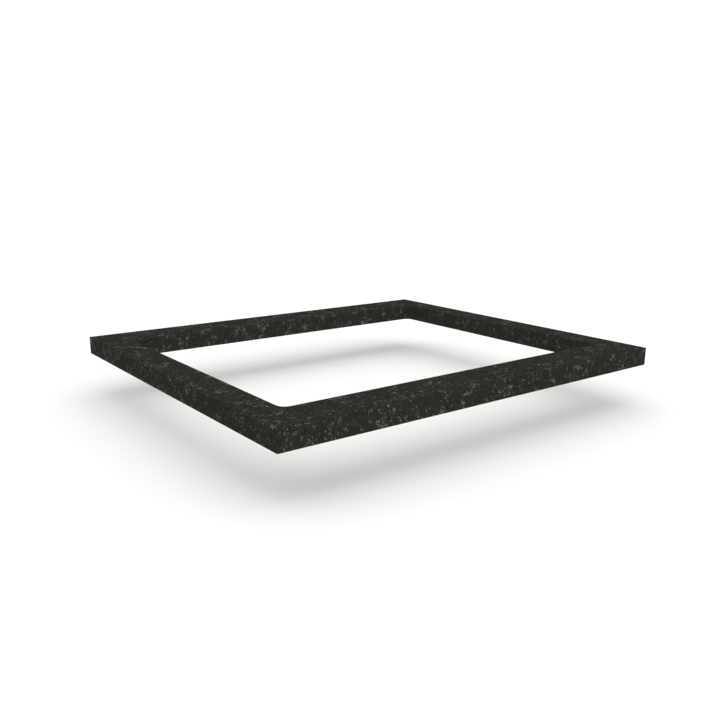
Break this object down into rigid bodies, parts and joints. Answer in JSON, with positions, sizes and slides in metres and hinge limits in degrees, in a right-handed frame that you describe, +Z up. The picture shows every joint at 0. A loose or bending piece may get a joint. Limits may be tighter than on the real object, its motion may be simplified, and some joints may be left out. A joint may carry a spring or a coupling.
{
  "type": "granite slab",
  "caption": "Rectangular dark granite surround with a large rounded-corner rectangular cut-out; its narrow rails are stiffened by steel rods bedded in resin in underside kerfs.",
  "frame": {"origin": "middle of the underside, which is the bottom centre of the bounding box", "axes": "+X along the longer side, +Y from the front rail to the back rail, +Z up out of the top face"},
  "size_m": [0.73, 0.63, 0.03],
  "materials": {
    "granite": "matte",
    "steel_rod": "satin",
    "resin": "satin"
  },
  "bodies": {
    "root": {"granite_slab": "granite", "rod_front": "steel_rod", "rod_back": "steel_rod", "rod_left": "steel_rod", "rod_right": "steel_rod", "resin_front": "resin", "resin_back": "resin", "resin_left": "resin", "resin_right": "resin"}
  },
  "joints": []
}
